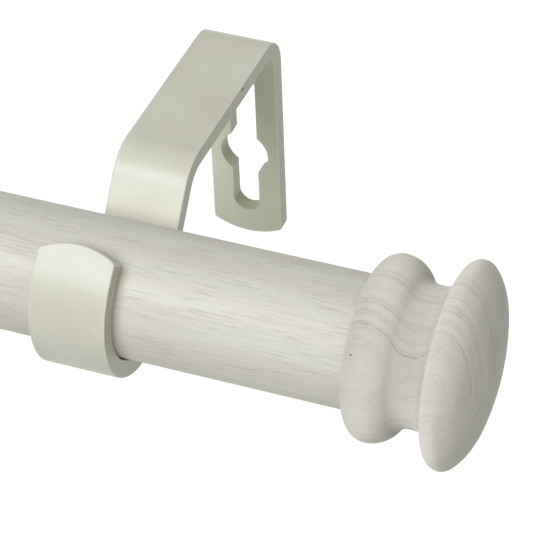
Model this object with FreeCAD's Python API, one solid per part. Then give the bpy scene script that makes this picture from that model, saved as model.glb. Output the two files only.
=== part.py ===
# Telescoping wood-look curtain rod: two steel tubes that slide one in the other, a turned finial
# screwed into each end, and two folded steel brackets that carry it in front of a wall.
#
# Lengths are in millimetres and angles in degrees. The rod is drawn closed, at its shortest.
# +X runs along the rod towards the right-hand finial as seen from the room, +Y runs into the
# wall and +Z is up. The origin is the centre of the right bracket's keyhole, on the wall's face.

import FreeCAD
import Part
import math
import os

V = FreeCAD.Vector

# The two tubes
outer_diameter = 35.0
outer_wall = 1.0
tube_gap = 0.5  # between the outer tube's bore and the inner tube
inner_wall = 1.0
travel = 508.0  # how far the inner tube slides out
mouth_roll = 3.0  # length of the outer tube's rolled-in edge
mouth_room = 23.6  # bare inner tube between the outer tube's mouth and the left bracket
end_room = 10.0  # free length between the sleeve and the right plug when closed

# The sleeve on the hidden end of the inner tube
sleeve_length = 60.0
sleeve_end_wall = 1.6
vent_diameter = 6.0
stop_gap = 0.5  # between the sleeve and the rolled edge when fully out

# The plugs in the rod's two ends, with their captive nuts
plug_length = 22.0
plug_face = 3.0
plug_wall = 1.8
boss_wall = 2.0
rib_thickness = 1.6
rib_count = 6
nut_across_flats = 13.0
nut_height = 6.5
nut_chamfer_angle = 30.0

# The studs that hold the finials
stud_diameter = 8.0
stud_chamfer = 0.8
stud_reach = 13.0  # how far a stud stands out of its finial
stud_grip = 16.0  # how deep it sits in the finial

# The turned finials, by the radii of their section
bead_diameter = 48.3
bead_round = 5.0  # of the bead's side against the rod
bead_flank_round = 7.9  # of its side towards the neck
neck_diameter = 36.75
neck_fillet = 4.2
neck_length = 1.2
cove_round = 5.5
cap_diameter = 53.8
cap_rim_round = 2.9
cap_shoulder_round = 15.2
shoulder_start = 44.6  # the face's angle to the rod's axis where rim and shoulder meet
shoulder_end = 16.7  # and where shoulder and dome meet

# The folded strap brackets
strap_width = 21.0
strap_thickness = 4.76
projection = 99.5  # from the wall to the rod's axis
arm_rise = 16.1  # from the rod's axis up to the top of the arm
wall_bend = 4.9  # inside radius
drop_angle = 52.9  # of the drop below the level arm
drop_bend = 8.15  # inside radius
cradle_clearance = 0.9  # how much wider than the outer tube the cradle is bent
cradle_wrap = 185.4
lip_length = 5.0  # straight part above the cradle, up to its corners
end_bow = 2.85  # how far a strap end bulges past its corners
end_corner = 1.5
edge_round = 0.5
bracket_inset = 72.1  # from a rod end to the middle of its bracket

# The keyhole in each wall plate
keyhole_below_axis = 25.9
keyhole_diameter = 14.3
keyslot_width = 7.9
keyslot_down = 20.4
keyslot_up = 28.0
plate_reach = 28.2  # from the keyhole's centre to the plate's lowest point

# Clearances
running_clearance = 0.06
seat_clearance = 0.02
rest_gap = 0.3  # under the rod in its cradle
cut_margin = 1.0  # how far a cutting shape runs past what it cuts

# Radii and lengths that follow
outer_radius = outer_diameter / 2
outer_bore = outer_radius - outer_wall
inner_radius = outer_bore - tube_gap
inner_bore = inner_radius - inner_wall
stud_radius = stud_diameter / 2
stud_bore = stud_radius + running_clearance
outer_length = (travel + sleeve_length + mouth_roll + stop_gap + sleeve_end_wall
                + end_room + plug_length)
inner_stub = bracket_inset + strap_width / 2 + mouth_room
inner_length = inner_stub + mouth_roll + stop_gap + travel + sleeve_length
closed_length = outer_length + inner_stub

# Places that follow
rod_height = keyhole_below_axis
right_end = bracket_inset
left_end = right_end - closed_length
mouth = right_end - outer_length
left_bracket_x = left_end + bracket_inset
left_bracket_lift = outer_radius - inner_radius  # the inner tube is thinner, so it rests lower
AXIS = V(1, 0, 0)
ORIGIN = V(0, 0, 0)


def point(x, r):
    """A point of a turned section: x along the rod, r out from its axis."""
    return V(x, 0, r)


def line(a, b):
    return Part.LineSegment(a, b).toShape()


def arc(a, middle, b):
    return Part.Arc(a, middle, b).toShape()


def polar(centre, radius, angle):
    """A point of a turned section at an angle from +X round a centre in that section."""
    turn = math.radians(angle)
    return centre + V(radius * math.cos(turn), 0, radius * math.sin(turn))


def section_arc(centre, radius, first, last):
    """An arc in a turned section, between two angles from +X."""
    ends = [polar(centre, radius, angle) for angle in (first, (first + last) / 2, last)]
    return arc(*ends)


def angle_to(centre, target):
    offset = target - centre
    return math.degrees(math.atan2(offset.z, offset.x))


def corners(points):
    """Straight edges through the points, in order."""
    return [line(a, b) for a, b in zip(points, points[1:])]


def turned(edges):
    """A solid of revolution about the rod's axis from the edges of a closed section."""
    face = Part.Face(Part.Wire(Part.__sortEdges__(edges)))
    return face.revolve(ORIGIN, AXIS, 360)


def disc(radius, x0, x1):
    return Part.makeCylinder(radius, x1 - x0, V(x0, 0, 0), AXIS)


def ring(inner, outer, x0, x1):
    return disc(outer, x0, x1).cut(disc(inner, x0 - cut_margin, x1 + cut_margin))


def on_axis(shape, x):
    """The shape, moved from its own origin to x along the rod."""
    moved = shape.copy()
    moved.translate(V(x, -projection, rod_height))
    return moved


def on_right_end(shape):
    """The shape, drawn outward along +X from a rod end, put on the right end."""
    return on_axis(shape, right_end)


def on_left_end(shape):
    """The same shape turned round to point out of the left end."""
    turned_round = shape.copy()
    turned_round.rotate(ORIGIN, V(0, 0, 1), 180)
    return on_axis(turned_round, left_end)


def make_outer_tube():
    """A plain tube from x = 0 to its length, its left edge rolled in to guide the inner tube."""
    lip_radius = inner_radius + running_clearance
    roll_depth = outer_bore - lip_radius
    roll_inside = (mouth_roll ** 2 + roll_depth ** 2) / (2 * roll_depth)
    roll_outside = roll_inside + outer_wall
    centre = point(mouth_roll, outer_bore - roll_inside)
    mouth_outside = centre.z + math.sqrt(roll_outside ** 2 - mouth_roll ** 2)
    outside_start = angle_to(centre, point(0, mouth_outside))
    inside_start = angle_to(centre, point(0, lip_radius))
    edges = corners([
        point(mouth_roll, outer_radius),
        point(outer_length, outer_radius),
        point(outer_length, outer_bore),
        point(mouth_roll, outer_bore),
    ])
    edges.append(section_arc(centre, roll_inside, 90, inside_start))
    edges.append(line(point(0, lip_radius), point(0, mouth_outside)))
    edges.append(section_arc(centre, roll_outside, outside_start, 90))
    return turned(edges)


def make_inner_tube():
    return ring(inner_bore, inner_radius, 0, inner_length)


def make_slide_sleeve():
    """A thin cup over the inner tube's hidden end, x = 0 at that end, vented for the air."""
    outside = outer_bore - running_clearance
    inside = inner_radius + seat_clearance
    skirt = ring(inside, outside, -sleeve_length, 0)
    return skirt.fuse(ring(vent_diameter / 2, outside, 0, sleeve_end_wall)).removeSplitter()


def hex_prism(across_flats, x0, x1):
    radius = across_flats / math.sqrt(3)
    tips = [V(x0, radius * math.cos(math.radians(60 * k)), radius * math.sin(math.radians(60 * k)))
            for k in range(7)]
    return Part.Face(Part.makePolygon(tips)).extrude(V(x1 - x0, 0, 0))


def make_end_plug(bore):
    """A moulded plug with its face flush with the rod's end at x = 0 and its skirt at -X."""
    outside = bore - seat_clearance
    pocket_flats = nut_across_flats + 2 * running_clearance
    boss_radius = pocket_flats / math.sqrt(3) + boss_wall
    boss_end = -plug_face - nut_height
    plug = disc(outside, -plug_face, 0)
    plug = plug.fuse(ring(outside - plug_wall, outside, -plug_length, -plug_face))
    plug = plug.fuse(disc(boss_radius, boss_end, -plug_face))
    rib_reach = outside - plug_wall / 2
    for k in range(rib_count):
        rib = Part.makeBox(-plug_face - boss_end, rib_reach, rib_thickness,
                           V(boss_end, 0, -rib_thickness / 2))
        rib.rotate(ORIGIN, AXIS, 360 / rib_count * k)
        plug = plug.fuse(rib)
    plug = plug.cut(hex_prism(pocket_flats, boss_end - cut_margin, -plug_face))
    plug = plug.cut(disc(stud_radius + 5 * running_clearance, -plug_length, cut_margin))
    return plug.removeSplitter()


def make_plug_nut():
    """A hexagon nut in the plug's pocket, with both faces chamfered and its bore countersunk."""
    x0 = -plug_face - nut_height
    x1 = -plug_face
    middle = (x0 + x1) / 2
    corner = nut_across_flats / math.sqrt(3)
    flat = nut_across_flats / 2
    slope = (corner - flat) * math.tan(math.radians(nut_chamfer_angle))
    blank = turned(corners([
        point(x0, 0),
        point(x0, flat),
        point(x0 + slope, corner),
        point(middle, corner),
        point(x1 - slope, corner),
        point(x1, flat),
        point(x1, 0),
        point(x0, 0),
    ]))
    nut = blank.common(hex_prism(nut_across_flats, x0, x1))
    nut = nut.cut(disc(stud_bore, x0 - cut_margin, x1 + cut_margin))
    for face, inward in ((x0, 1), (x1, -1)):
        start = V(face, 0, 0)
        sink = Part.makeCone(stud_bore + stud_chamfer, stud_bore, stud_chamfer, start, AXIS * inward)
        nut = nut.cut(sink)
    return nut.removeSplitter()


def make_stud():
    """A plain-shanked stud with chamfered ends, from its tip inside the rod to the finial's hole."""
    tip = -stud_reach
    root = stud_grip
    return turned(corners([
        point(tip, 0),
        point(tip, stud_radius - stud_chamfer),
        point(tip + stud_chamfer, stud_radius),
        point(root - stud_chamfer, stud_radius),
        point(root, stud_radius - stud_chamfer),
        point(root, 0),
        point(tip, 0),
    ]))


def make_finial():
    """Bead, neck and domed cap in one turned piece, its flat face on the rod's end at x = 0."""
    neck_radius = neck_diameter / 2
    bead = point(bead_round, bead_diameter / 2 - bead_round)
    flank = point(bead_round, bead_diameter / 2 - bead_flank_round)

    # the hollow where the bead's flank runs down into the neck touches both
    reach = bead_flank_round + neck_fillet
    hollow_rise = neck_radius + neck_fillet - flank.z
    hollow = flank + V(math.sqrt(reach ** 2 - hollow_rise ** 2), 0, hollow_rise)

    # the cove rises from the neck and touches the cap's round rim
    cove = point(hollow.x + neck_length, neck_radius + cove_round)
    rim_radius = cap_diameter / 2 - cap_rim_round
    rim_rise = rim_radius - cove.z
    rim = cove + V(math.sqrt((cove_round + cap_rim_round) ** 2 - rim_rise ** 2), 0, rim_rise)

    # the shoulder goes on smoothly from the rim, and the dome from the shoulder to the axis
    shoulder = polar(rim, cap_rim_round - cap_shoulder_round, shoulder_start)
    dome_edge = polar(shoulder, cap_shoulder_round, shoulder_end)
    dome_radius = dome_edge.z / math.sin(math.radians(shoulder_end))
    dome = polar(dome_edge, -dome_radius, shoulder_end)
    tip = point(dome.x + dome_radius, 0)

    flank_end = angle_to(flank, hollow)
    cove_end = angle_to(cove, rim)
    edges = [
        line(ORIGIN, point(0, bead.z)),
        section_arc(bead, bead_round, 180, 90),
        section_arc(flank, bead_flank_round, 90, flank_end),
        section_arc(hollow, neck_fillet, flank_end + 180, 270),
        line(point(hollow.x, neck_radius), point(cove.x, neck_radius)),
        section_arc(cove, cove_round, -90, cove_end),
        section_arc(rim, cap_rim_round, cove_end + 180, shoulder_start),
        section_arc(shoulder, cap_shoulder_round, shoulder_start, shoulder_end),
        section_arc(dome, dome_radius, shoulder_end, 0),
        line(tip, ORIGIN),
    ]
    finial = turned(edges)
    return finial.cut(disc(stud_bore, -cut_margin, stud_grip + rest_gap))


def strap_outline(start, heading, folds):
    """The two long sides of a folded strap, seen along -X, from its first end to its last.

    The first side follows the folds as given and the second lies to its left, one strap
    thickness away. A fold is a straight length, or a turn in degrees with its inside radius.
    Returns the edges of both sides, the last point of the first side and the last heading.
    """
    here = start
    first_side = []
    second_side = []
    for kind, amount, radius in folds:
        turn = math.radians(heading)
        ahead = V(0, math.cos(turn), math.sin(turn))
        left = V(0, -math.sin(turn), math.cos(turn))
        if kind == "straight":
            end = here + ahead * amount
            first_side.append(line(here, end))
            second_side.append(line(here + left * strap_thickness, end + left * strap_thickness))
            here = end
            continue
        side = 1 if amount > 0 else -1
        first_radius = radius + strap_thickness if side > 0 else radius
        centre = here + left * side * first_radius
        spokes = []
        for share in (0, 0.5, 1):
            spoke = FreeCAD.Rotation(AXIS, amount * share).multVec(here - centre)
            spokes.append(spoke * (1 / first_radius))
        second_radius = first_radius - side * strap_thickness
        first_side.append(arc(*[centre + spoke * first_radius for spoke in spokes]))
        second_side.append(arc(*[centre + spoke * second_radius for spoke in spokes]))
        here = centre + spokes[-1] * first_radius
        heading = heading + amount
    return first_side, second_side, here, heading


def end_waste():
    """What is cut off a square strap end to leave it bowed, with rounded corners.

    Drawn lying flat: the strap runs along +Y and ends at y = 0, its width along X.
    """
    half = strap_width / 2
    bow_radius = (half ** 2 + end_bow ** 2) / (2 * end_bow)
    bow_centre = V(0, -bow_radius, 0)
    across = half - end_corner
    corner = V(across, math.sqrt((bow_radius - end_corner) ** 2 - across ** 2) - bow_radius, 0)
    aim = (corner - bow_centre).normalize()
    bow_end = bow_centre + aim * bow_radius
    swing = V(1, 0, 0) + aim
    corner_middle = corner + swing.normalize() * end_corner
    side_end = corner + V(end_corner, 0, 0)

    def other(p):
        return V(-p.x, p.y, p.z)

    wide = V(half + cut_margin, side_end.y, 0)
    far = V(half + cut_margin, cut_margin, 0)
    edges = [arc(side_end, corner_middle, bow_end)]
    edges.append(arc(bow_end, ORIGIN, other(bow_end)))
    edges.append(arc(other(bow_end), other(corner_middle), other(side_end)))
    edges += corners([other(side_end), other(wide), other(far), far, wide, side_end])
    waste = Part.Face(Part.Wire(edges)).extrude(V(0, 0, strap_thickness + 2 * cut_margin))
    waste.translate(V(0, 0, -cut_margin))
    return waste


def bowed_end(strap, place, heading):
    """The strap with the end at that place bowed; the heading points out of that end."""
    waste = end_waste()
    waste.Placement = FreeCAD.Placement(place, FreeCAD.Rotation(AXIS, heading))
    return strap.cut(waste)


def make_keyhole():
    """The double keyhole's cutter: a round hole with a round-ended slot above and below it."""
    half = keyslot_width / 2
    top = keyslot_up - half
    bottom = half - keyslot_down
    near = cut_margin
    outline = [
        line(V(half, near, bottom), V(half, near, top)),
        arc(V(half, near, top), V(0, near, keyslot_up), V(-half, near, top)),
        line(V(-half, near, top), V(-half, near, bottom)),
        arc(V(-half, near, bottom), V(0, near, -keyslot_down), V(half, near, bottom)),
    ]
    depth = V(0, -strap_thickness - 2 * cut_margin, 0)
    slot = Part.Face(Part.Wire(outline)).extrude(depth)
    hole = Part.makeCylinder(keyhole_diameter / 2, depth.Length, V(0, near, 0), V(0, -1, 0))
    return slot.fuse(hole).removeSplitter()


def make_bracket():
    """A flat strap folded into wall plate, arm, drop and cradle, with its origin at the keyhole.

    The drop runs tangent into the cradle, and the cradle is bent a little wider than the tube,
    so the rod lies in its lowest point.
    """
    cradle_radius = outer_radius + cradle_clearance
    cradle = V(0, -projection, rod_height + cradle_clearance - rest_gap)
    arm_top = rod_height + arm_rise
    slope = math.radians(drop_angle)
    foot = cradle + V(0, math.sin(slope), -math.cos(slope)) * cradle_radius
    drop_full = (arm_top - foot.z) / math.sin(slope)
    drop_trim = (drop_bend + strap_thickness) * math.tan(slope / 2)
    corner_y = foot.y + drop_full * math.cos(slope)
    wall_trim = wall_bend + strap_thickness
    folds = [
        ("straight", plate_reach + arm_top - wall_trim, 0),
        ("turn", 90, wall_bend),
        ("straight", -wall_trim - corner_y - drop_trim, 0),
        ("turn", drop_angle, drop_bend),
        ("straight", drop_full - drop_trim, 0),
        ("turn", -cradle_wrap, cradle_radius),
        ("straight", lip_length + end_bow, 0),
    ]
    start = V(0, 0, -plate_reach)
    first_side, second_side, lip_end, lip_heading = strap_outline(start, 90, folds)
    edges = first_side + second_side
    edges.append(line(first_side[0].valueAt(first_side[0].FirstParameter),
                      second_side[0].valueAt(second_side[0].FirstParameter)))
    edges.append(line(first_side[-1].valueAt(first_side[-1].LastParameter),
                      second_side[-1].valueAt(second_side[-1].LastParameter)))
    outline = Part.Wire(Part.__sortEdges__(edges))
    strap = Part.Face(outline).extrude(V(strap_width, 0, 0))
    strap.translate(V(-strap_width / 2, 0, 0))
    strap = bowed_end(strap, V(0, -strap_thickness, -plate_reach), -90)
    strap = bowed_end(strap, lip_end, lip_heading)
    strap = strap.makeFillet(edge_round, long_edges(strap))
    return strap.cut(make_keyhole())


def long_edges(strap):
    """The edges that run along the strap's rim, leaving the short ones across its thickness."""
    rim = []
    for edge in strap.Edges:
        ends = [edge.valueAt(edge.FirstParameter), edge.valueAt(edge.LastParameter)]
        across_width = abs(ends[0].x - ends[1].x) > strap_width - cut_margin
        middle = edge.valueAt((edge.FirstParameter + edge.LastParameter) / 2)
        straight = abs(edge.Length - (ends[1] - ends[0]).Length) < seat_clearance
        fold_line = across_width and straight
        through = straight and abs(edge.Length - strap_thickness) < seat_clearance
        if not fold_line and not through and abs(middle.x) < strap_width:
            rim.append(edge)
    return rim


def export(shape, node):
    shape.exportStep("parts/" + node + ".step")
    box = shape.BoundBox
    print(node, "solids", len(shape.Solids), "valid", shape.isValid(),
          "volume", round(shape.Volume, 1), "x", round(box.XMin, 1), round(box.XMax, 1),
          "y", round(box.YMin, 1), round(box.YMax, 1), "z", round(box.ZMin, 1), round(box.ZMax, 1))


def main():
    os.makedirs("parts", exist_ok=True)
    bracket = make_bracket()
    export(bracket, "right_bracket")
    left_bracket = bracket.copy()
    left_bracket.translate(V(left_bracket_x, 0, left_bracket_lift))
    export(left_bracket, "left_bracket")
    export(on_axis(make_outer_tube(), mouth), "outer_tube")
    export(on_axis(make_inner_tube(), left_end), "inner_tube")
    export(on_axis(make_slide_sleeve(), left_end + inner_length), "slide_sleeve")
    for side, place, bore in (("right", on_right_end, outer_bore), ("left", on_left_end, inner_bore)):
        export(place(make_end_plug(bore)), side + "_end_plug")
        export(place(make_plug_nut()), side + "_plug_nut")
        export(place(make_stud()), side + "_finial_stud")
        export(place(make_finial()), side + "_finial")
    print("rod closed", round(closed_length, 1), "open", round(closed_length + travel, 1))


main()
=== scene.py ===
"""Studio picture of a telescoping curtain rod with a wood look, on its two strap brackets.

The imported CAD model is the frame. This script gives each of its nodes a finish and puts smoother
tubes and threaded studs in place of the plain ones. It then adds the floor, the light and the camera.
Lengths are millimetres, and in the studio metres, in the part's own frame: +X along the rod towards
the right-hand finial, +Y into the wall and +Z up, from the middle of the right bracket's keyhole.
In a finish, a pair is where something starts and where it is full, or its least and its most. A cover
is the share that is hidden of the colour below. A relief is a depth and the share of it that shows.
"""

import logging
import math
from dataclasses import dataclass
from enum import Enum
from itertools import product

import bmesh
import bpy
from mathutils import Matrix, Vector


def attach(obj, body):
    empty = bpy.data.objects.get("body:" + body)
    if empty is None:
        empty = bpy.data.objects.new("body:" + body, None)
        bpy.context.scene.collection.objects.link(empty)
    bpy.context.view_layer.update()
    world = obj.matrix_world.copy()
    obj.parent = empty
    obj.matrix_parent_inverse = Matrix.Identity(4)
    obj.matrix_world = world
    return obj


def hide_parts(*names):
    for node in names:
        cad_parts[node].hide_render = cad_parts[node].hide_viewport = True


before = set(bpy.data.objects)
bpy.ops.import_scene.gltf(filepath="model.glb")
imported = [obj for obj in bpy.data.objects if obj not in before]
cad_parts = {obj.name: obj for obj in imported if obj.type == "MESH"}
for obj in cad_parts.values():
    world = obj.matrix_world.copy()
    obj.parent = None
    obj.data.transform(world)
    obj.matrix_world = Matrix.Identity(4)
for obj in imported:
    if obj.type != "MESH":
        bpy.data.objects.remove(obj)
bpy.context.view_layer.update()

LOG = logging.getLogger("curtain_rod")

MILLIMETRE = 0.001
ROD_AXIS = Vector((0.0, -99.5, 25.9))
RIGHT_END = 72.1
LEFT_END = -639.2
LEFT_BRACKET = -567.1
BLOT_CORE = 0.6
MIX_SHARE, MIX_UNDER, MIX_OVER, MIX_RESULT = 0, 6, 7, 2

Colour = tuple[float, float, float, float]
Triple = tuple[float, float, float]
Pair = tuple[float, float]
Socket = bpy.types.NodeSocket
Value = float | Socket

WHITE: Colour = (1.0, 1.0, 1.0, 1.0)


def paint(red: float, green: float, blue: float) -> Colour:
    """A colour for a shader, from a paint chip read on a screen.

    Args:
        red: Red of the chip, 0 to 255.
        green: Green of the chip, 0 to 255.
        blue: Blue of the chip, 0 to 255.

    Returns:
        The same colour in linear light, with full cover.
    """
    linear = []
    for part in (red, green, blue):
        level = part / 255.0
        linear.append(level / 12.92 if level <= 0.04045 else ((level + 0.055) / 1.055) ** 2.4)
    return (linear[0], linear[1], linear[2], 1.0)


class End(Enum):
    """The rod's two ends, and the way each one points along X."""

    RIGHT = 1
    LEFT = -1

    @property
    def label(self) -> str:
        """The word that starts the names of this end's nodes."""
        return self.name.lower()


class Maths(Enum):
    """What a maths node can do, with Blender's name for it."""

    ADD = "ADD"
    SUBTRACT = "SUBTRACT"
    MULTIPLY = "MULTIPLY"
    MULTIPLY_ADD = "MULTIPLY_ADD"
    DIVIDE = "DIVIDE"
    POWER = "POWER"
    MAXIMUM = "MAXIMUM"
    ABSOLUTE = "ABSOLUTE"
    FLOOR = "FLOOR"


@dataclass(frozen=True)
class Pattern:
    """A random pattern that a finish is drawn with.

    Density is how many features a millimetre holds along X, Y and Z. Detail and roughness are how
    many finer layers there are and how strong. The number picks one pattern of that kind, and the
    edges are the values at which a mark starts and is full.
    """

    density: Triple
    detail: float
    roughness: float
    number: float
    edges: Pair = (0.0, 1.0)


class NodeBench:
    """A material under construction: a shader and the texture nodes that feed it.

    What its methods return is the output of a node that carries the result.
    """

    def __init__(self, name: str) -> None:
        """Starts an empty material with a shader on its output.

        Args:
            name: The material's name.
        """
        self.material = bpy.data.materials.new(name)
        self.material.use_nodes = True
        self.tree = self.material.node_tree
        self.tree.nodes.clear()
        self.output = self.tree.nodes.new("ShaderNodeOutputMaterial")
        self.shader = self.tree.nodes.new("ShaderNodeBsdfPrincipled")
        self.wire(self.shader.outputs["BSDF"], self.output.inputs["Surface"])

    def wire(self, source: Socket, target: Socket) -> None:
        """Joins an output to an input."""
        self.tree.links.new(source, target)

    def feed(self, target: Socket, value: Value | Triple | Colour) -> None:
        """Gives an input a fixed value, or wires an output to it.

        Args:
            target: The input.
            value: A number, a colour, a place or another node's output.
        """
        if isinstance(value, bpy.types.NodeSocket):
            self.wire(value, target)
        else:
            target.default_value = value

    def maths(self, operation: Maths, first: Value, second: Value = 0.0, third: Value = 0.0) -> Socket:
        """One step of arithmetic.

        Args:
            operation: What is done with the numbers.
            first: The first number or output.
            second: The second, where the operation takes one.
            third: The third, where the operation takes one.

        Returns:
            The result.
        """
        node = self.tree.nodes.new("ShaderNodeMath")
        node.operation = operation.value
        for place, value in enumerate((first, second, third)):
            self.feed(node.inputs[place], value)
        return node.outputs[0]

    def plus(self, first: Value, second: Value) -> Socket:
        """The two numbers added."""
        return self.maths(Maths.ADD, first, second)

    def minus(self, first: Value, second: Value) -> Socket:
        """The first number less the second."""
        return self.maths(Maths.SUBTRACT, first, second)

    def times(self, first: Value, second: Value) -> Socket:
        """The two numbers multiplied."""
        return self.maths(Maths.MULTIPLY, first, second)

    def times_plus(self, first: Value, second: Value, third: Value) -> Socket:
        """The first two numbers multiplied, and the third added."""
        return self.maths(Maths.MULTIPLY_ADD, first, second, third)

    def larger(self, first: Value, second: Value) -> Socket:
        """The larger of the two numbers."""
        return self.maths(Maths.MAXIMUM, first, second)

    def between(self, share: Value, ends: Pair) -> Socket:
        """The number that lies a share of the way from the first end to the second."""
        return self.times_plus(share, ends[1] - ends[0], ends[0])

    def place(self, middle: Triple) -> Socket:
        """The point that is being shaded.

        Args:
            middle: The point of the part that it is measured from, in millimetres.

        Returns:
            The point, in millimetres.
        """
        where = self.tree.nodes.new("ShaderNodeTexCoord")
        scaled = self.tree.nodes.new("ShaderNodeVectorMath")
        scaled.operation = "SCALE"
        scaled.inputs["Scale"].default_value = 1.0 / MILLIMETRE
        self.wire(where.outputs["Object"], scaled.inputs[0])
        moved = self.tree.nodes.new("ShaderNodeVectorMath")
        moved.operation = "SUBTRACT"
        moved.inputs[1].default_value = middle
        self.wire(scaled.outputs[0], moved.inputs[0])
        return moved.outputs[0]

    def stretch(self, place: Socket, density: Triple) -> Socket:
        """A place with each of its axes multiplied, so that a texture runs long along one of them.

        Args:
            place: The point, in millimetres.
            density: What each coordinate is multiplied by.

        Returns:
            The new point.
        """
        node = self.tree.nodes.new("ShaderNodeVectorMath")
        node.operation = "MULTIPLY"
        node.inputs[1].default_value = density
        self.wire(place, node.inputs[0])
        return node.outputs[0]

    def slant(self, place: Socket, slope: float) -> Socket:
        """A place sheared, so that what ran along X climbs along Z as well.

        Args:
            place: The point, in millimetres.
            slope: How far it climbs along Z in a millimetre along X.

        Returns:
            The new point.
        """
        x, y, z = self.split(place)
        node = self.tree.nodes.new("ShaderNodeCombineXYZ")
        self.wire(x, node.inputs[0])
        self.wire(y, node.inputs[1])
        self.wire(self.times_plus(x, -slope, z), node.inputs[2])
        return node.outputs[0]

    def split(self, place: Socket) -> tuple[Socket, Socket, Socket]:
        """Takes a place apart.

        Args:
            place: The point.

        Returns:
            Its three coordinates, each an output.
        """
        node = self.tree.nodes.new("ShaderNodeSeparateXYZ")
        self.wire(place, node.inputs[0])
        return node.outputs[0], node.outputs[1], node.outputs[2]

    def noise(self, place: Socket, pattern: Pattern, shift: float = 0.0) -> Socket:
        """Smooth random values about 0.5, with their own fineness along each axis.

        Args:
            place: The point, in millimetres.
            pattern: The pattern that is read there.
            shift: What is added to the pattern's number, for another one of its kind.

        Returns:
            The value.
        """
        node = self.tree.nodes.new("ShaderNodeTexNoise")
        node.noise_dimensions = "4D"
        node.inputs["W"].default_value = pattern.number + shift
        node.inputs["Scale"].default_value = 1.0
        node.inputs["Detail"].default_value = pattern.detail
        node.inputs["Roughness"].default_value = pattern.roughness
        self.wire(self.stretch(place, pattern.density), node.inputs["Vector"])
        return node.outputs[0]

    def marks(self, place: Socket, pattern: Pattern) -> Socket:
        """Random marks, 0 outside them and 1 where they are full."""
        return self.step(self.noise(place, pattern), *pattern.edges)

    def noise_of(self, number: Socket, detail: float, roughness: float) -> Socket:
        """Smooth random values about 0.5 that follow one number alone.

        Args:
            number: The number, where 1 is the size of a feature.
            detail: How many finer layers there are.
            roughness: How strong they are.

        Returns:
            The value.
        """
        node = self.tree.nodes.new("ShaderNodeTexNoise")
        node.noise_dimensions = "1D"
        node.inputs["Scale"].default_value = 1.0
        node.inputs["Detail"].default_value = detail
        node.inputs["Roughness"].default_value = roughness
        self.wire(number, node.inputs["W"])
        return node.outputs[0]

    def step(self, value: Value, low: float, high: float) -> Socket:
        """Rises smoothly from 0 where the value is low to 1 where it is high.

        Args:
            value: The number that is tested.
            low: Where the rise starts. It may be above high, for a fall.
            high: Where the rise ends.

        Returns:
            The share, 0 to 1.
        """
        node = self.tree.nodes.new("ShaderNodeMapRange")
        node.interpolation_type = "SMOOTHSTEP"
        node.inputs["From Min"].default_value = min(low, high)
        node.inputs["From Max"].default_value = max(low, high)
        node.inputs["To Min"].default_value = 0.0 if low < high else 1.0
        node.inputs["To Max"].default_value = 1.0 if low < high else 0.0
        self.feed(node.inputs["Value"], value)
        return node.outputs["Result"]

    def mix(self, share: Value, first: Colour | Socket, second: Colour | Socket) -> Socket:
        """One colour laid over another.

        Args:
            share: How much of the second colour shows, 0 to 1.
            first: The colour underneath.
            second: The colour on top.

        Returns:
            The colour.
        """
        node = self.tree.nodes.new("ShaderNodeMix")
        node.data_type = "RGBA"
        self.feed(node.inputs[MIX_SHARE], share)
        self.feed(node.inputs[MIX_UNDER], first)
        self.feed(node.inputs[MIX_OVER], second)
        return node.outputs[MIX_RESULT]

    def blot(self, place: Socket, middle: Triple, size: float) -> Socket:
        """A soft round spot: 1 at its middle and 0 beyond its size.

        Args:
            place: The point, in millimetres.
            middle: The spot's middle, measured as the place is.
            size: The spot's radius.

        Returns:
            The spot.
        """
        node = self.tree.nodes.new("ShaderNodeVectorMath")
        node.operation = "DISTANCE"
        node.inputs[1].default_value = middle
        self.wire(place, node.inputs[0])
        return self.step(node.outputs["Value"], size, size * BLOT_CORE)

    def relief(self, height: Socket, depth: float, strength: float) -> None:
        """Presses a pattern into the surface.

        Args:
            height: The pattern, 0 at the bottom and 1 at the top.
            depth: How deep it is, in millimetres.
            strength: How much of it shows.
        """
        node = self.tree.nodes.new("ShaderNodeBump")
        node.inputs["Strength"].default_value = strength
        node.inputs["Distance"].default_value = depth * MILLIMETRE
        self.wire(height, node.inputs["Height"])
        self.wire(node.outputs["Normal"], self.shader.inputs["Normal"])

    def finish(self, colour: Socket | Colour, roughness: Value, metallic: float = 0.0,
               specular: float = 0.5, chalk: float = 0.0) -> bpy.types.Material:
        """Puts the last values on the shader.

        Args:
            colour: The surface's colour.
            roughness: How dull it is.
            metallic: 1 for bare metal.
            specular: How strong the gloss is on what isn't metal.
            chalk: How flat the surface looks where it turns away from the light, as chalk does.

        Returns:
            The finished material.
        """
        self.feed(self.shader.inputs["Base Color"], colour)
        self.feed(self.shader.inputs["Roughness"], roughness)
        self.shader.inputs["Metallic"].default_value = metallic
        self.shader.inputs["Specular IOR Level"].default_value = specular
        self.shader.inputs["Diffuse Roughness"].default_value = chalk
        return self.material


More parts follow.
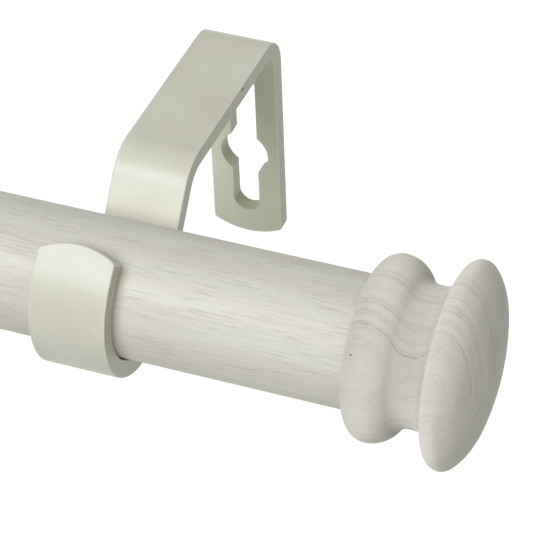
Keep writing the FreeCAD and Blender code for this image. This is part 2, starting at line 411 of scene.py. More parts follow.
@dataclass(frozen=True)
class WoodFilm:
    """The printed film that wraps the steel tubes: whitewashed boards with fine open pores."""

    name: str = "wood_film"
    pale: Colour = paint(235, 234, 227)
    board: Colour = paint(229, 226, 219)
    pore: Colour = paint(170, 165, 152)
    boards: Pattern = Pattern((1 / 120, 1 / 7, 1 / 7), 2.0, 0.55, 3.1, (0.36, 0.68))
    gathers: Pattern = Pattern((0.2 / 4.2, 0.22, 0.22), 1.5, 0.5, 7.7, (0.42, 0.60))
    pores: Pattern = Pattern((0.5 / 4.2, 0.5 / 0.20, 0.5 / 0.20), 2.5, 0.55, 1.3, (0.555, 0.620))
    hairs: Pattern = Pattern((0.3 / 4.2, 0.5 / 0.13, 0.5 / 0.13), 1.0, 0.4, 5.9, (0.52, 0.74))
    gathered: Pair = (0.25, 1.0)
    hair_cover: float = 0.22
    pore_cover: float = 0.30
    lap_cover: float = 0.55
    lap_angle: float = -48.0
    lap_edges: Pair = (0.22, 0.066)
    pore_height: float = 0.8
    relief: Pair = (0.03, 0.6)
    roughness: Pair = (0.42, 0.54)
    chalk: float = 0.15

    def make(self) -> bpy.types.Material:
        """Builds the film's material.

        Returns:
            The material, with its grain along the rod and its lap on the wall side.
        """
        bench = NodeBench(self.name)
        place = bench.place((0.0, ROD_AXIS.y, ROD_AXIS.z))
        gathered = bench.between(bench.marks(place, self.gathers), self.gathered)
        pores = bench.times(bench.marks(place, self.pores), gathered)
        hairs = bench.marks(place, self.hairs)
        lap = self.lap(bench, place)
        colour = bench.mix(bench.marks(place, self.boards), self.pale, self.board)
        colour = bench.mix(bench.times(hairs, self.hair_cover), colour, self.pore)
        colour = bench.mix(bench.times(pores, self.pore_cover), colour, self.pore)
        colour = bench.mix(bench.times(lap, self.lap_cover), colour, self.pore)
        dips = bench.larger(bench.times(pores, self.pore_height), lap)
        bench.relief(bench.minus(1.0, dips), *self.relief)
        return bench.finish(colour, bench.between(pores, self.roughness), chalk=self.chalk)

    def lap(self, bench: NodeBench, place: Socket) -> Socket:
        """The line where the film's two edges meet, straight along the tube.

        Args:
            bench: The material under construction.
            place: The point, in millimetres from the rod's axis.

        Returns:
            1 on the line and 0 away from it.
        """
        _, towards_wall, up = bench.split(place)
        turn = math.radians(self.lap_angle)
        side = bench.minus(bench.times(up, math.cos(turn)), bench.times(towards_wall, math.sin(turn)))
        facing = bench.plus(bench.times(towards_wall, math.cos(turn)), bench.times(up, math.sin(turn)))
        near = bench.step(bench.maths(Maths.ABSOLUTE, side), *self.lap_edges)
        return bench.times(near, bench.step(facing, 0.0, 1.0))


@dataclass(frozen=True)
class TurnedResin:
    """The finials' cast resin, coloured as if each were turned from one block of pale wood.

    Rings and finer lines run through the block about its heart. Painted grey shade darkens the hollows:
    the neck, the crease before the cap and the seat by the tube. Places along the finial count from
    its flat face, and rings from the heart.
    Wander moves the lines off even gaps, and draw spaces the random values of their strengths.
    """

    name: str = "finial_resin"
    pale: Colour = paint(232, 230, 226)
    clear: Colour = paint(226, 224, 219)
    ring: Colour = paint(160, 154, 140)
    # painted shade colour for the grooves
    glaze: Colour = paint(158, 156, 148)
    fleck: Colour = paint(120, 116, 104)
    rings: tuple[Pair, ...] = (
        (13.1, 1.00), (13.7, 0.40), (15.5, 0.55), (16.1, 0.30), (18.4, 0.75), (19.1, 0.50),
        (22.2, 0.45), (24.3, 0.25), (26.6, 0.40), (27.2, 0.55), (28.7, 0.55), (29.3, 0.30),
        (31.6, 0.40), (34.0, 0.60), (36.8, 0.35), (39.5, 0.60), (43.0, 0.50),
    )
    ring_rise: float = 0.45
    ring_fall: float = 0.1125
    ring_cover: Pair = (0.20, 0.56)
    faded_below: Pair = (12.5, 8.0)
    faded: Pair = (0.18, 1.0)
    line_gap: float = 0.80
    line_rise: float = 0.55
    line_fall: float = 0.09625
    line_edges: Pair = (0.36, 0.66)
    line_cover: Pair = (0.10, 0.32)
    line_broken: Pair = (0.2, 1.0)
    wander_rate: float = 0.45
    wander: float = 3.0
    draw: float = 0.731
    breaks: Pattern = Pattern((0.5 / 6.0, 0.5 / 0.45, 0.5 / 0.45), 1.5, 0.5, 2.3, (0.36, 0.60))
    patches: Pattern = Pattern((0.03, 0.11, 0.05), 1.0, 0.5, 9.2, (0.40, 0.62))
    plain_heart: Pair = (13.0, 11.0)
    strokes: Pattern = Pattern((0.10, 2.6, 2.6), 1.0, 0.5, 3.7, (0.52, 0.66))
    stroke_slope: float = 0.45
    stroke_cover: float = 0.15
    tone_width: float = 6.0
    tone_edges: Pair = (0.35, 0.70)
    tone_cover: float = 0.8
    # where the painted shade lies, in millimetres from the flat face, and how dark it is: neck, crease
    # before the cap, seat by the tube
    neck: Pair = (9.5, 15.0)
    neck_glaze: float = 0.16
    crease: Pair = (18.0, 21.5)
    crease_glaze: float = 0.20
    cap_back: Pair = (22.6, 22.0)
    seat: Pair = (6.5, 1.0)
    seat_glaze: float = 0.26
    fleck_size: float = 0.34
    squareness: float = 4.0
    slow_sway: Pattern = Pattern((0.025, 0.05, 0.05), 1.0, 0.4, 4.4)
    quick_sway: Pattern = Pattern((0.16, 0.30, 0.30), 2.0, 0.5, 6.1)
    sway: float = 1.4
    sway_middle: float = 0.56
    quick_share: float = 0.12
    relief: Pair = (0.05, 0.6)
    roughness: Pair = (0.6, 0.7)
    gloss: float = 0.15
    chalk: float = 1.0

    def make(self, end: End, middle: Triple, heart: Pair,
             fleck_at: Triple | None) -> bpy.types.Material:
        """Builds one finial's material, because each is cut from its own block.

        Args:
            end: The end of the rod that the finial is for.
            middle: The middle of the finial's flat face, in millimetres.
            heart: Y and Z of the rings' middle, from the finial's axis.
            fleck_at: The place of a small pit in the surface, where there is one.

        Returns:
            The material.
        """
        bench = NodeBench(f"{self.name}_{end.label}")
        place = bench.place(middle)
        layers = self.layers(bench, place, heart)
        breaks = bench.marks(place, self.breaks)
        _, _, z = bench.split(place)
        fade = bench.step(z, heart[1] - self.faded_below[0], heart[1] - self.faded_below[1])
        rings = bench.times(self.year_rings(bench, layers), bench.between(breaks, self.ring_cover))
        rings = bench.times(rings, bench.between(fade, self.faded))
        lines = self.shown_lines(bench, place, layers, breaks)
        count = bench.maths(Maths.DIVIDE, layers, self.tone_width)
        tone = bench.step(bench.noise_of(count, detail=2.0, roughness=0.5), *self.tone_edges)
        colour = bench.mix(bench.times(tone, self.tone_cover), self.pale, self.clear)
        # painted shade in the neck, the crease before the cap and the seat by the tube
        colour = bench.mix(self.gathered_glaze(bench, place), colour, self.glaze)
        colour = bench.mix(lines, colour, self.ring)
        colour = bench.mix(rings, colour, self.ring)
        dips = bench.larger(rings, lines)
        if fleck_at is not None:
            pit = bench.blot(place, fleck_at, self.fleck_size)
            colour = bench.mix(pit, colour, self.fleck)
            dips = bench.larger(dips, pit)
        bench.relief(bench.minus(1.0, dips), *self.relief)
        dull = bench.between(dips, self.roughness)
        return bench.finish(colour, dull, specular=self.gloss, chalk=self.chalk)

    def layers(self, bench: NodeBench, place: Socket, heart: Pair) -> Socket:
        """How far out a point is in the block's yearly rings, which are squarish about their heart.

        Args:
            bench: The material under construction.
            place: The point, from the finial's flat face.
            heart: Y and Z of the rings' middle, from the finial's axis.

        Returns:
            The distance, in millimetres.
        """
        _, y, z = bench.split(place)
        powers = []
        for at, middle in zip((y, z), heart):
            off = bench.maths(Maths.ABSOLUTE, bench.minus(at, middle))
            powers.append(bench.maths(Maths.POWER, off, self.squareness))
        depth = bench.maths(Maths.POWER, bench.plus(*powers), 1.0 / self.squareness)
        slow = bench.noise(place, self.slow_sway, heart[1])
        quick = bench.noise(place, self.quick_sway, heart[1])
        sway = bench.times_plus(slow, self.sway, -self.sway * self.sway_middle)
        sway = bench.times_plus(quick, self.sway * self.quick_share, sway)
        return bench.plus(depth, sway)

    def year_rings(self, bench: NodeBench, layers: Socket) -> Socket:
        """The block's strongest lines, each at its own depth. They darken slowly and end sharply.

        Args:
            bench: The material under construction.
            layers: How far out the point is in the rings.

        Returns:
            1 on the darkest line, 0 between the lines.
        """
        marks: Value = 0.0
        for at, strength in self.rings:
            rise = bench.step(layers, at - self.ring_rise, at)
            fall = bench.step(layers, at + self.ring_fall, at)
            marks = bench.larger(marks, bench.times(bench.times(rise, fall), strength))
        return marks

    def shown_lines(self, bench: NodeBench, place: Socket, layers: Socket, breaks: Socket) -> Socket:
        """The fine lines as they show: in patches, and in the plain heart only as slanting strokes.

        Args:
            bench: The material under construction.
            place: The point, from the finial's flat face.
            layers: How far out the point is in the rings.
            breaks: 0 where pores break the lines, 1 between them.

        Returns:
            The lines' share of the colour.
        """
        patches = bench.marks(place, self.patches)
        lines = bench.times(self.grown_lines(bench, layers), bench.between(patches, self.line_cover))
        lines = bench.times(lines, bench.between(breaks, self.line_broken))
        inside = bench.step(layers, *self.plain_heart)
        strokes = bench.marks(bench.slant(place, self.stroke_slope), self.strokes)
        outside = bench.times(lines, bench.minus(1.0, inside))
        return bench.times_plus(bench.times(strokes, self.stroke_cover), inside, outside)

    def grown_lines(self, bench: NodeBench, layers: Socket) -> Socket:
        """Thin growth lines at uneven gaps. Each darkens slowly, ends sharply and has its own strength.

        Args:
            bench: The material under construction.
            layers: How far out the point is in the rings.

        Returns:
            1 on the darkest line, 0 between the lines.
        """
        count = bench.maths(Maths.DIVIDE, layers, self.line_gap)
        wander = bench.noise_of(bench.times(count, self.wander_rate), detail=1.0, roughness=0.5)
        phase = bench.times_plus(wander, self.wander, count)
        number = bench.maths(Maths.FLOOR, phase)
        within = bench.minus(phase, number)
        rise = bench.step(within, 1.0 - self.line_rise, 1.0)
        fall = bench.step(within, self.line_fall, 0.0)
        last_number = bench.minus(number, 1.0)
        own = bench.noise_of(bench.times(number, self.draw), detail=0.0, roughness=0.0)
        last = bench.noise_of(bench.times(last_number, self.draw), detail=0.0, roughness=0.0)
        rise = bench.times(rise, bench.step(own, *self.line_edges))
        fall = bench.times(fall, bench.step(last, *self.line_edges))
        return bench.larger(rise, fall)

    def gathered_glaze(self, bench: NodeBench, place: Socket) -> Socket:
        """How much painted shade darkens the grooves: some in the neck, most where cap and tube meet
        it.

        Args:
            bench: The material under construction.
            place: The point, from the finial's flat face.

        Returns:
            The painted shade's share of the colour.
        """
        x, _, _ = bench.split(place)
        along = bench.maths(Maths.ABSOLUTE, x)
        neck = bench.times(bench.step(along, *self.neck), self.neck_glaze)
        groove = bench.times_plus(bench.step(along, *self.crease), self.crease_glaze, neck)
        groove = bench.times(groove, bench.step(along, *self.cap_back))
        seat = bench.times(bench.step(along, *self.seat), self.seat_glaze)
        return bench.larger(groove, seat)


@dataclass(frozen=True)
class PowderCoat:
    """The brackets' baked ivory powder coat, with fine orange peel and a painted highlight along the
    edges.

    It has painted shade: a yellower tint on the shaded plate and the corner by the wall, and a darker
    olive tone on the sheared sides and the keyhole's walls, partly a thinner coat there.
    """

    name: str = "bracket_coat"
    ivory: Colour = paint(228, 228, 218)
    cloud: Colour = paint(222, 221, 210)
    # painted highlight along the rounded edges of the strap
    rim: Colour = paint(246, 246, 238)
    # darker olive tone: the coat's real specks, and painted shade on the sheared sides and keyhole
    # walls
    thin_coat_and_shade: Colour = paint(186, 187, 165)
    # painted shade: yellower tint of the shaded plate and the corner by the wall
    wall_shade_tint: Colour = paint(229, 230, 211)
    bare_steel: Colour = paint(44, 42, 38)
    half_width: float = 10.5
    clouds: Pattern = Pattern((0.05, 0.05, 0.05), 2.0, 0.5, 1.9, (0.40, 0.64))
    peel: Pattern = Pattern((1 / 1.1, 1 / 1.1, 1 / 1.1), 1.0, 0.5, 8.3)
    specks: Pattern = Pattern((3.2, 3.2, 3.2), 0.0, 0.5, 2.2, (0.66, 0.80))
    speck_cover: float = 0.25
    speck_height: float = 0.2
    highlight_middle: float = 0.20
    highlight_edges: Pair = (0.28, 0.08)
    highlight_cover: float = 0.7
    # painted shade on the sheared sides and the keyhole's walls, partly a thinner coat there
    side_edges: Pair = (0.06, 0.01)
    side_shade_cover: float = 0.75
    behind_face: Pair = (-4.66, -4.51)
    inside_sides: Pair = (1.0, 1.5)
    # where the painted shade tint by the wall starts and is full along Y, and how strongly it covers
    wall_corner: Pair = (-8.5, -4.76)
    wall_shade_cover: float = 0.85
    chip_shape: Triple = (1.0, 0.8, 1.2)
    chip_size: float = 0.75
    relief: Pair = (0.012, 0.5)
    roughness: Pair = (0.29, 0.39)

    def make(self, end: End, middle: float, chip_at: Triple | None) -> bpy.types.Material:
        """Builds one bracket's material.

        Args:
            end: The end of the rod that the bracket carries.
            middle: X of the strap's middle, in millimetres.
            chip_at: The place of a small chip in the coat, where there is one.

        Returns:
            The material.
        """
        bench = NodeBench(f"{self.name}_{end.label}")
        place = bench.place((middle, 0.0, 0.0))
        x, y, _ = bench.split(place)
        clouds = bench.noise(place, self.clouds)
        specks = bench.noise(place, self.specks)
        from_edge = bench.minus(self.half_width, bench.maths(Maths.ABSOLUTE, x))
        # painted highlight: a paler band just inside each long edge
        off_highlight = bench.maths(Maths.ABSOLUTE, bench.minus(from_edge, self.highlight_middle))
        rim = bench.step(off_highlight, *self.highlight_edges)
        # painted shade on the keyhole's walls and the sheared sides, partly a thinner coat there
        behind = bench.step(y, *self.behind_face)
        keyhole_shade = bench.times(behind, bench.step(from_edge, *self.inside_sides))
        sheared_shade = bench.larger(bench.step(from_edge, *self.side_edges), keyhole_shade)
        # painted shade tint in the corner by the wall
        wall_shade_tint = bench.step(y, *self.wall_corner)
        speckled = bench.step(specks, *self.specks.edges)
        colour = bench.mix(bench.step(clouds, *self.clouds.edges), self.ivory, self.cloud)
        # lays on the painted shade tint by the wall
        colour = bench.mix(bench.times(wall_shade_tint, self.wall_shade_cover), colour, self.wall_shade_tint)
        colour = bench.mix(bench.times(speckled, self.speck_cover), colour, self.thin_coat_and_shade)
        # lays on the painted edge highlight
        colour = bench.mix(bench.times(rim, self.highlight_cover), colour, self.rim)
        # lays on the painted shade of the sheared sides and keyhole walls
        colour = bench.mix(bench.times(sheared_shade, self.side_shade_cover), colour, self.thin_coat_and_shade)
        height = bench.times_plus(specks, self.speck_height, bench.noise(place, self.peel))
        if chip_at is not None:
            chip_middle = tuple(at * scale for at, scale in zip(chip_at, self.chip_shape))
            chip = bench.blot(bench.stretch(place, self.chip_shape), chip_middle, self.chip_size)
            colour = bench.mix(chip, colour, self.bare_steel)
            height = bench.minus(height, chip)
        bench.relief(height, *self.relief)
        return bench.finish(colour, bench.between(clouds, self.roughness))


@dataclass(frozen=True)
class MouldedPlastic:
    """White moulded plastic with a fine spark-eroded texture, on the plugs and the sleeve."""

    name: str = "moulded_plastic"
    body: Colour = paint(226, 226, 218)
    shade: Colour = paint(208, 207, 197)
    grain: Pattern = Pattern((1 / 0.35, 1 / 0.35, 1 / 0.35), 1.0, 0.5, 3.3)
    flow: Pattern = Pattern((0.08, 0.14, 0.14), 2.0, 0.6, 7.2, (0.35, 0.68))
    scuffs: Pattern = Pattern((0.05, 1.4, 1.4), 2.0, 0.5, 5.0, (0.62, 0.76))
    scuff_cover: float = 0.3
    relief: Pair = (0.015, 0.5)
    roughness: Pair = (0.45, 0.57)

    def make(self) -> bpy.types.Material:
        """Builds the plastic's material.

        Returns:
            The material, with its flow marks along the rod.
        """
        bench = NodeBench(self.name)
        place = bench.place((0.0, ROD_AXIS.y, ROD_AXIS.z))
        flow = bench.noise(place, self.flow)
        colour = bench.mix(bench.step(flow, *self.flow.edges), self.body, self.shade)
        scuffs = bench.times(bench.marks(place, self.scuffs), self.scuff_cover)
        colour = bench.mix(scuffs, colour, self.shade)
        bench.relief(bench.noise(place, self.grain), *self.relief)
        return bench.finish(colour, bench.between(flow, self.roughness))


@dataclass(frozen=True)
class ZincPlate:
    """Bright zinc on the studs and nuts, with turning marks and a slight bloom."""

    name: str = "zinc_steel"
    bright: Colour = paint(196, 198, 202)
    bloom: Colour = paint(160, 164, 166)
    turning: Pattern = Pattern((1 / 0.3, 0.3, 0.3), 1.0, 0.5, 2.7)
    patches: Pattern = Pattern((0.25, 0.25, 0.25), 3.0, 0.6, 6.6, (0.38, 0.66))
    relief: Pair = (0.01, 0.4)
    roughness: Pair = (0.22, 0.47)

    def make(self) -> bpy.types.Material:
        """Builds the plating's material.

        Returns:
            The material, with its turning marks across the rod.
        """
        bench = NodeBench(self.name)
        place = bench.place((0.0, ROD_AXIS.y, ROD_AXIS.z))
        patches = bench.noise(place, self.patches)
        colour = bench.mix(bench.step(patches, *self.patches.edges), self.bright, self.bloom)
        bench.relief(bench.noise(place, self.turning), *self.relief)
        return bench.finish(colour, bench.between(patches, self.roughness), metallic=1.0)


def dress(name: str, material: bpy.types.Material) -> None:
    """Gives a CAD node a finish, on every slot that it has.

    Args:
        name: The node's name.
        material: The finish.
    """
    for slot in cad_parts[name].material_slots:
        slot.material = material
    LOG.info("%s wears %s", name, material.name)


def place_piece(name: str, mesh: bpy.types.Mesh, material: bpy.types.Material, node: str,
                body: str) -> None:
    """Puts a new piece in place of a CAD node.

    Args:
        name: The piece's name.
        mesh: Its mesh, where the node is.
        material: Its finish.
        node: The CAD node that it stands for.
        body: The CAD body that it rides on.
    """
    mesh.materials.append(material)
    piece = bpy.data.objects.new(name, mesh)
    bpy.context.scene.collection.objects.link(piece)
    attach(piece, body)
    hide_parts(node)
    LOG.info("%s stands for %s and rides on %s", name, node, body)


def at_rod(x: float, radius: float, turn: float) -> Vector:
    """A mesh's point, in metres: along the rod, out from its axis and turned about it in radians."""
    return (Vector((x, radius * math.cos(turn), radius * math.sin(turn))) + ROD_AXIS) * MILLIMETRE


def smooth_mesh(name: str, body: bmesh.types.BMesh, sharp_angle: float) -> bpy.types.Mesh:
    """Makes a smoothly shaded mesh of faces that were built by hand.

    Args:
        name: The mesh's name.
        body: The faces. They are used up.
        sharp_angle: The bend, in degrees, from which an edge stays sharp.

    Returns:
        The mesh.
    """
    bmesh.ops.recalc_face_normals(body, faces=body.faces)
    mesh = bpy.data.meshes.new(name)
    body.to_mesh(mesh)
    body.free()
    mesh.polygons.foreach_set("use_smooth", [True] * len(mesh.polygons))
    mesh.set_sharp_from_angle(angle=math.radians(sharp_angle))
    return mesh


@dataclass
class TelescopingTubes:
    """The two film-wrapped steel tubes. The outer one's mouth is rolled in and guides the inner."""

    film: WoodFilm = WoodFilm()
    outer_radius: float = 17.5
    outer_bore: float = 16.5
    inner_radius: float = 16.0
    inner_bore: float = 15.0
    mouth: float = -533.0
    inner_right_end: float = 38.5
    mouth_roll: float = 3.0
    roll_steps: int = 8
    mouth_edge: float = 0.15
    running_clearance: float = 0.06
    corner: float = 0.18
    corner_middle: float = 0.054
    corner_steps: int = 3
    segments: int = 160
    sharp_angle: float = 35.0

    def arc(self, centre: Pair, radius: float) -> list[Pair]:
        """Points on the mouth's roll, from the straight tube to the mouth.

        Args:
            centre: The arc's centre, as (x, radius).
            radius: The arc's own radius.

        Returns:
            The points.
        """
        reach = math.asin(self.mouth_roll / radius)
        points = []
        for step in range(self.roll_steps + 1):
            turn = reach * step / self.roll_steps
            points.append((centre[0] - radius * math.sin(turn), centre[1] + radius * math.cos(turn)))
        return points

    def outer_section(self) -> list[Pair]:
        """The outer tube's section, from its right end round to the rolled mouth and back.

        Returns:
            The points of the section.
        """
        depth = self.outer_bore - self.inner_radius - self.running_clearance
        inside = (self.mouth_roll ** 2 + depth ** 2) / (2.0 * depth)
        outside = inside + self.outer_radius - self.outer_bore
        centre = (self.mouth + self.mouth_roll, self.outer_bore - inside)
        outer_arc = self.arc(centre, outside)
        edge = outer_arc.pop()
        return [
            (RIGHT_END, self.outer_bore),
            (RIGHT_END, self.outer_radius - self.corner),
            (RIGHT_END - self.corner_middle, self.outer_radius - self.corner_middle),
            (RIGHT_END - self.corner, self.outer_radius),
            *outer_arc,
            (edge[0] + self.mouth_edge, edge[1]),
            (edge[0], edge[1] - self.mouth_edge),
            *reversed(self.arc(centre, inside)),
        ]

    def inner_section(self) -> list[Pair]:
        """The inner tube's ring section, with each of its corners rounded.

        Returns:
            The points of the section.
        """
        corners = [
            Vector((LEFT_END, self.inner_bore)),
            Vector((self.inner_right_end, self.inner_bore)),
            Vector((self.inner_right_end, self.inner_radius)),
            Vector((LEFT_END, self.inner_radius)),
        ]
        section = []
        for place, here in enumerate(corners):
            back = (corners[place - 1] - here).normalized() * self.corner
            ahead = (corners[(place + 1) % len(corners)] - here).normalized() * self.corner
            for step in range(self.corner_steps + 1):
                share = step / self.corner_steps
                point = here + ((1.0 - share) ** 2 * back + share ** 2 * ahead)
                section.append((point.x, point.y))
        return section

    def turned_mesh(self, name: str, section: list[Pair]) -> bpy.types.Mesh:
        """Spins a closed section about the rod's axis.

        Args:
            name: The mesh's name.
            section: Its outline's points as (x, radius), in millimetres.

        Returns:
            The mesh, in metres.
        """
        body = bmesh.new()
        loops = []
        for x, radius in section:
            turns = (2.0 * math.pi * step / self.segments for step in range(self.segments))
            loops.append([body.verts.new(at_rod(x, radius, turn)) for turn in turns])
        for place, loop in enumerate(loops):
            following = loops[(place + 1) % len(loops)]
            for step in range(self.segments):
                after = (step + 1) % self.segments
                body.faces.new((loop[step], loop[after], following[after], following[step]))
        return smooth_mesh(name, body, self.sharp_angle)

    def build(self) -> None:
        """Makes both tubes and wraps them in film."""
        film = self.film.make()
        dress("outer_tube", film)
        dress("inner_tube", film)
        outer = self.turned_mesh("outer_tube_wrapped", self.outer_section())
        place_piece("outer_tube_wrapped", outer, film, "outer_tube", "wall_side")
        inner = self.turned_mesh("inner_tube_wrapped", self.inner_section())
        place_piece("inner_tube_wrapped", inner, film, "inner_tube", "telescope")


@dataclass
class EndFitting:
    """What holds a finial: a plug in the tube's end, a nut caught in it and a threaded stud."""

    end: End
    plastic: bpy.types.Material
    zinc: bpy.types.Material
    face: float
    reach_in: float = 13.0
    reach_out: float = 16.0
    crest_radius: float = 3.99
    root_radius: float = 3.3
    pitch: float = 1.25
    flank: Pair = (0.22, 0.54)
    crest_end: float = 0.68
    chamfer: float = 0.8
    segments: int = 48
    weld: float = 0.004
    sharp_angle: float = 30.0

    def thread_mesh(self) -> bpy.types.Mesh:
        """A stud with a right-hand thread from end to end and a chamfer at each.

        Returns:
            The stud's mesh, in metres.
        """
        ends = (self.face - self.end.value * self.reach_in, self.face + self.end.value * self.reach_out)
        low, high = min(ends), max(ends)
        corners = ((0.0, self.root_radius), (self.flank[0], self.root_radius),
                   (self.flank[1], self.crest_radius), (self.crest_end, self.crest_radius))
        coils = range(-1, int((high - low) / self.pitch) + 2)
        body = bmesh.new()
        columns = []
        for step in range(self.segments + 1):
            share = step / self.segments
            column = []
            for coil, (along, radius) in product(coils, corners):
                x = min(max(low + (coil + along + share) * self.pitch, low), high)
                limit = self.crest_radius - self.chamfer + min(x - low, high - x)
                column.append(body.verts.new(at_rod(x, min(radius, limit), 2.0 * math.pi * share)))
            columns.append(column)
        for before, after in zip(columns, columns[1:]):
            for row in range(len(before) - 1):
                body.faces.new((before[row], after[row], after[row + 1], before[row + 1]))
        bmesh.ops.remove_doubles(body, verts=body.verts, dist=self.weld * MILLIMETRE)
        bmesh.ops.dissolve_degenerate(body, edges=body.edges, dist=self.weld * MILLIMETRE)
        bmesh.ops.holes_fill(body, edges=[edge for edge in body.edges if edge.is_boundary], sides=0)
        return smooth_mesh(f"{self.end.label}_finial_stud_threaded", body, self.sharp_angle)

    def build(self) -> None:
        """Dresses the plug and the nut, and puts a threaded stud in the plain one's place."""
        label = self.end.label
        dress(f"{label}_end_plug", self.plastic)
        dress(f"{label}_plug_nut", self.zinc)
        dress(f"{label}_finial_stud", self.zinc)
        place_piece(f"{label}_finial_stud_threaded", self.thread_mesh(), self.zinc,
                    f"{label}_finial_stud", f"{label}_stud")


@dataclass
class Finial:
    """A turned finial: a round bead, a waisted neck and a domed cap."""

    end: End
    resin: TurnedResin
    face: float
    heart: Pair
    fleck_at: Triple | None = None

    def build(self) -> None:
        """Dresses the finial in its own block's grain."""
        middle = (self.face, ROD_AXIS.y, ROD_AXIS.z)
        dress(f"{self.end.label}_finial", self.resin.make(self.end, middle, self.heart, self.fleck_at))


@dataclass
class StrapBracket:
    """A folded steel strap: wall plate with a keyhole, arm, drop and the cradle under the rod."""

    end: End
    coat: PowderCoat
    middle: float
    chip_at: Triple | None = None

    def build(self) -> None:
        """Dresses the bracket in its powder coat."""
        dress(f"{self.end.label}_bracket", self.coat.make(self.end, self.middle, self.chip_at))


@dataclass
class SlideSleeve:
    """The plastic sleeve that steadies the inner tube inside the outer one."""

    plastic: bpy.types.Material

    def build(self) -> None:
        """Dresses the sleeve."""
        dress("slide_sleeve", self.plastic)


@dataclass(frozen=True)
class Lamp:
    """A soft lamp far away, as wide as a studio's light tent."""

    name: str
    shines_from: Triple
    level: float
    spread: float
    distance: float = 3.0

    def build(self) -> None:
        """Hangs the lamp. A surface that faces it square on gets its level of light."""
        light = bpy.data.lights.new(self.name, "SUN")
        light.energy = self.level * math.pi
        light.angle = math.radians(self.spread)
        lamp = bpy.data.objects.new(self.name, light)
        bpy.context.scene.collection.objects.link(lamp)
        lamp.rotation_mode = "QUATERNION"
        lamp.rotation_quaternion = Vector(self.shines_from).to_track_quat("Z", "Y")
        lamp.location = Vector(self.shines_from).normalized() * self.distance
        LOG.info("%s hangs", self.name)


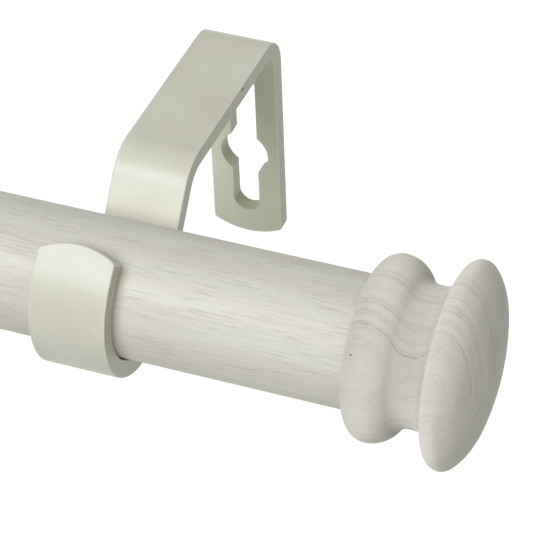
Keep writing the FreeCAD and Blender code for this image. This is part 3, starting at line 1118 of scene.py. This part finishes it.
@dataclass
class Studio:
    """A pale floor below the hung rod, a white surround, soft light and the camera."""

    floor_middle: Triple = (-0.28, 0.0, -0.6)
    floor_reach: float = 6.0
    floor_tiles: int = 12
    near_floor: Pair = (1.4, 2.52)
    floor_colour: Colour = paint(188, 188, 186)
    floor_roughness: float = 0.9
    floor_lift: float = 0.76
    air: float = 0.20
    air_colour: Colour = paint(255, 255, 230)
    lamps: tuple[Lamp, ...] = (
        Lamp("front_tent", (-0.19, -0.70, 0.70), 0.59, 34.0),
        Lamp("side_tent", (0.70, -0.45, 0.55), 0.09, 60.0),
        Lamp("front_glow", (0.30, -0.93, -0.04), 0.035, 30.0),
        Lamp("wall_glow", (0.15, 1.00, -0.15), 0.12, 60.0),
    )
    camera_place: Triple = (0.27166, -0.62997, 0.51484)
    swing: float = 22.878
    lift: float = 39.416
    roll: float = -2.368
    focal_length: float = 195.97
    sensor: float = 36.0
    clip: Pair = (0.05, 50.0)

    def seen_share(self, tree: bpy.types.NodeTree) -> Socket:
        """1 for what the camera sees, straight on or through a reflection or glass.

        Args:
            tree: The node tree that needs it.

        Returns:
            The output that carries the share.
        """
        path = tree.nodes.new("ShaderNodeLightPath")
        share = path.outputs["Is Camera Ray"]
        for ray in ("Is Glossy Ray", "Is Transmission Ray"):
            either = tree.nodes.new("ShaderNodeMath")
            either.operation = "MAXIMUM"
            tree.links.new(share, either.inputs[0])
            tree.links.new(path.outputs[ray], either.inputs[1])
            share = either.outputs[0]
        return share

    def build_surround(self) -> None:
        """Makes the white surround, which lights the object only as strongly as the air level."""
        world = bpy.data.worlds.new("white_surround")
        bpy.context.scene.world = world
        world.use_nodes = True
        tree = world.node_tree
        tree.nodes.clear()
        lights = tree.nodes.new("ShaderNodeBackground")
        lights.inputs["Color"].default_value = self.air_colour
        lights.inputs["Strength"].default_value = self.air
        seen = tree.nodes.new("ShaderNodeBackground")
        seen.inputs["Color"].default_value = WHITE
        seen.inputs["Strength"].default_value = 1.0
        choice = tree.nodes.new("ShaderNodeMixShader")
        tree.links.new(self.seen_share(tree), choice.inputs[0])
        tree.links.new(lights.outputs[0], choice.inputs[1])
        tree.links.new(seen.outputs[0], choice.inputs[2])
        output = tree.nodes.new("ShaderNodeOutputWorld")
        tree.links.new(choice.outputs[0], output.inputs["Surface"])

    def floor_material(self) -> bpy.types.Material:
        """Pale matt floor. Near the rod it keeps the shadow, and further out it turns plain white.

        Returns:
            The floor's material.
        """
        bench = NodeBench("pale_floor")
        tree = bench.tree
        bench.finish(self.floor_colour, self.floor_roughness, specular=0.0)
        glow = tree.nodes.new("ShaderNodeEmission")
        glow.inputs["Color"].default_value = WHITE
        reach = tree.nodes.new("ShaderNodeVectorMath")
        reach.operation = "LENGTH"
        bench.wire(bench.place(tuple(at / MILLIMETRE for at in self.floor_middle)), reach.inputs[0])
        near, far = (distance / MILLIMETRE for distance in self.near_floor)
        whitened = bench.step(reach.outputs["Value"], near, far)
        strength = bench.between(whitened, (self.floor_lift, 1.0))
        bench.wire(bench.times(strength, self.seen_share(tree)), glow.inputs["Strength"])
        both = tree.nodes.new("ShaderNodeAddShader")
        bench.wire(bench.shader.outputs[0], both.inputs[0])
        bench.wire(glow.outputs[0], both.inputs[1])
        bench.wire(both.outputs[0], bench.output.inputs["Surface"])
        return bench.material

    def build_floor(self) -> None:
        """Lays the floor below the rod."""
        sheet = bmesh.new()
        bmesh.ops.create_grid(sheet, x_segments=self.floor_tiles, y_segments=self.floor_tiles,
                              size=self.floor_reach)
        bmesh.ops.translate(sheet, verts=sheet.verts, vec=self.floor_middle)
        mesh = bpy.data.meshes.new("studio_floor")
        sheet.to_mesh(mesh)
        sheet.free()
        mesh.materials.append(self.floor_material())
        floor = bpy.data.objects.new("studio_floor", mesh)
        bpy.context.scene.collection.objects.link(floor)

    def build_camera(self) -> None:
        """Sets the camera where the photograph was taken from."""
        swing = math.radians(self.swing)
        lift = math.radians(self.lift)
        roll = math.radians(self.roll)
        back = Vector((math.sin(swing) * math.cos(lift), -math.cos(swing) * math.cos(lift),
                       math.sin(lift)))
        level = Vector((math.cos(swing), math.sin(swing), 0.0))
        upright = back.cross(level)
        right = math.cos(roll) * level + math.sin(roll) * upright
        up = math.cos(roll) * upright - math.sin(roll) * level
        turn = Matrix((right, up, back)).transposed().to_4x4()
        data = bpy.data.cameras.new("photograph_camera")
        data.sensor_width = self.sensor
        data.lens = self.focal_length
        data.clip_start, data.clip_end = self.clip
        camera = bpy.data.objects.new("photograph_camera", data)
        bpy.context.scene.collection.objects.link(camera)
        camera.matrix_world = Matrix.Translation(Vector(self.camera_place)) @ turn
        bpy.context.scene.camera = camera

    def build(self) -> None:
        """Builds the studio and sets how the picture is developed."""
        self.build_camera()
        self.build_surround()
        self.build_floor()
        for lamp in self.lamps:
            lamp.build()
        bpy.context.scene.view_settings.view_transform = "Standard"
        LOG.info("studio is ready")


def main() -> None:
    """Builds the studio, then each sub-assembly in the order in which the rod goes together."""
    logging.basicConfig(level=logging.INFO, format="%(name)s: %(message)s")
    Studio().build()
    plastic = MouldedPlastic().make()
    zinc = ZincPlate().make()
    TelescopingTubes().build()
    SlideSleeve(plastic).build()
    EndFitting(End.RIGHT, plastic, zinc, face=RIGHT_END).build()
    EndFitting(End.LEFT, plastic, zinc, face=LEFT_END).build()
    resin = TurnedResin()
    Finial(End.RIGHT, resin, face=RIGHT_END, heart=(-27.0, 13.0),
           fleck_at=(2.95, -19.65, 13.3)).build()
    Finial(End.LEFT, resin, face=LEFT_END, heart=(22.0, -16.0)).build()
    coat = PowderCoat()
    StrapBracket(End.RIGHT, coat, middle=0.0, chip_at=(10.5, -28.26, 40.95)).build()
    StrapBracket(End.LEFT, coat, middle=LEFT_BRACKET).build()


if __name__ == "__main__":
    main()
